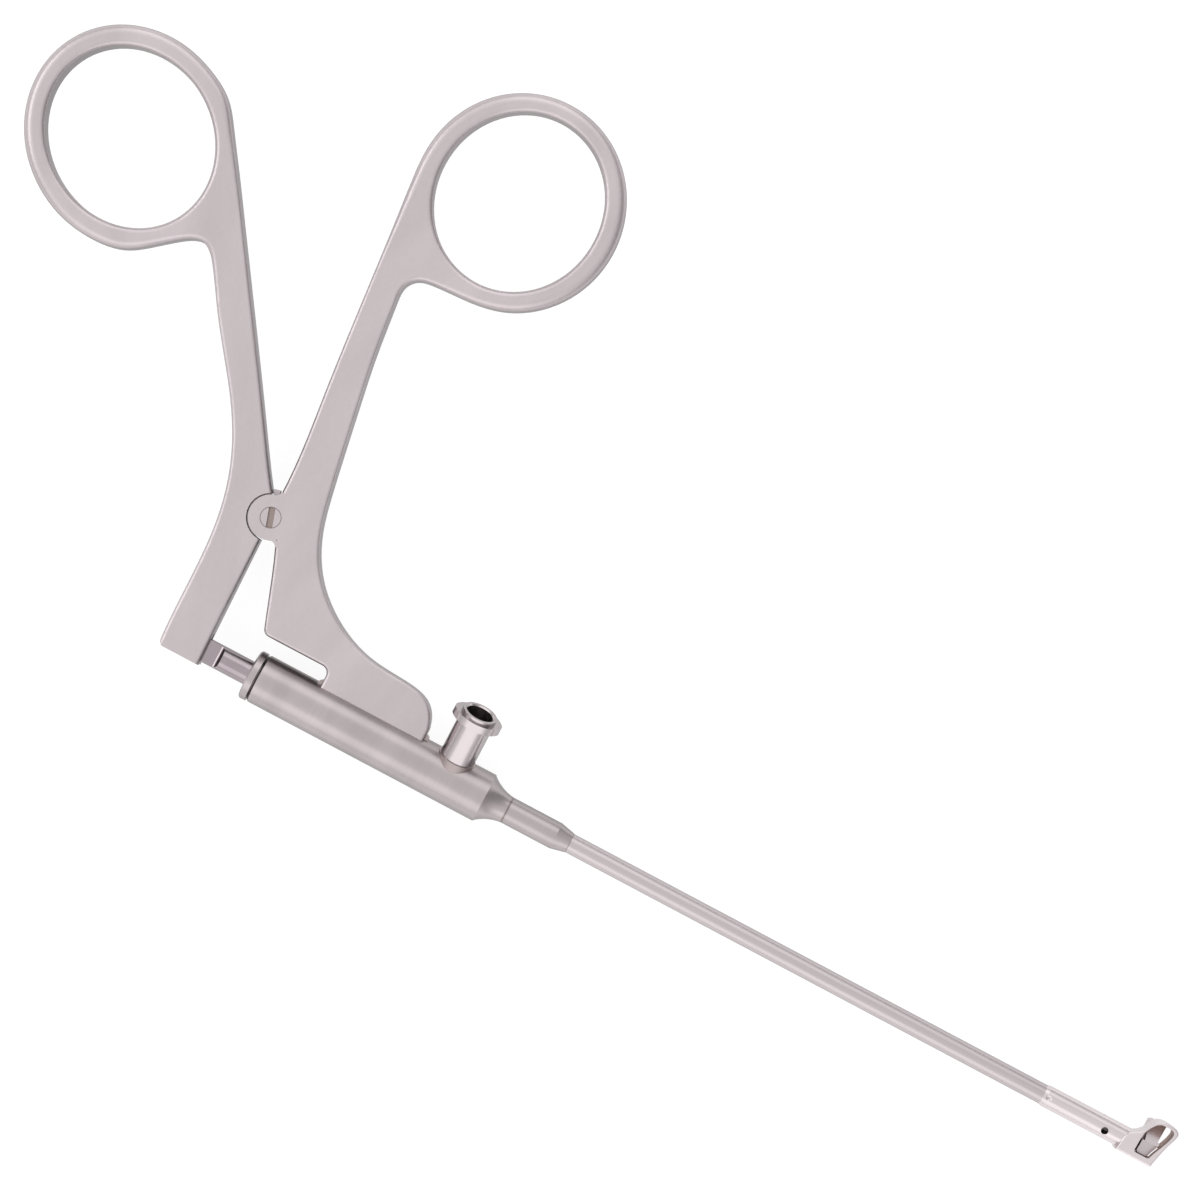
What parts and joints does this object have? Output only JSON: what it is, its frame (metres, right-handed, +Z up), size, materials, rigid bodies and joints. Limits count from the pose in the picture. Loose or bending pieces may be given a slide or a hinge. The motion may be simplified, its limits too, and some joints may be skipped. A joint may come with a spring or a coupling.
{
  "type": "antrum punch",
  "caption": "Ring-handled surgical punch with a long tubular shaft, a flushing port and a swinging cutter that bites through a window at the tip.",
  "frame": {"origin": "centre of the handle pivot, on the lower flat face of the handles", "axes": "+X along the shaft toward the cutting tip, +Y from the shaft toward the finger rings, +Z up through the flat handles"},
  "size_m": [0.2293, 0.1034, 0.0121],
  "materials": {
    "satin_steel": "satin bead-blasted stainless steel",
    "bright_steel": "ground stainless steel",
    "pin_steel": "turned stainless steel",
    "rod_steel": "polished stainless steel",
    "seal_rubber": "matt",
    "braze": "brazed seam, satin"
  },
  "bodies": {
    "frame_body": {"front_handle": "satin_steel", "pivot_screw": "pin_steel", "barrel": "satin_steel", "gland_nut": "satin_steel", "seal_ring": "seal_rubber", "seal_washer": "satin_steel", "nose_cone": "satin_steel", "reinforcing_sleeve": "satin_steel", "shaft_tube": "satin_steel", "window_jaw": "bright_steel", "cutter_pivot_studs": "pin_steel", "luer_port": "satin_steel", "port_seam": "braze", "foot_braze": "braze"},
    "rear_lever": {"rear_handle": "satin_steel", "lever_pin": "pin_steel"},
    "drive_rod": {"plunger": "rod_steel", "pull_rod": "rod_steel", "cam_blade": "rod_steel"},
    "bite": {"cutter": "bright_steel", "cutter_drive_pin": "pin_steel"}
  },
  "joints": [
    {"name": "handle_close", "type": "hinge", "parent": "frame_body", "child": "rear_lever", "pos_m": [0, 0, 0.00225], "axis": [0, 0, -1], "range_deg": [0, 15]},
    {"name": "rod_pull", "type": "slide", "parent": "frame_body", "child": "drive_rod", "axis": [-1, 0, 0], "range_m": [0, 0.00594]},
    {"name": "cutter_swing", "type": "hinge", "parent": "frame_body", "child": "bite", "pos_m": [0.1549, -0.02255, 0.00225], "axis": [0, -1, 0], "range_deg": [0, 20.01]}
  ],
  "couplings": [
    {"joint": "rod_pull", "follows": "handle_close", "m_per_rad": 0.02268},
    {"joint": "cutter_swing", "follows": "handle_close", "ratio": 1.3333}
  ]
}
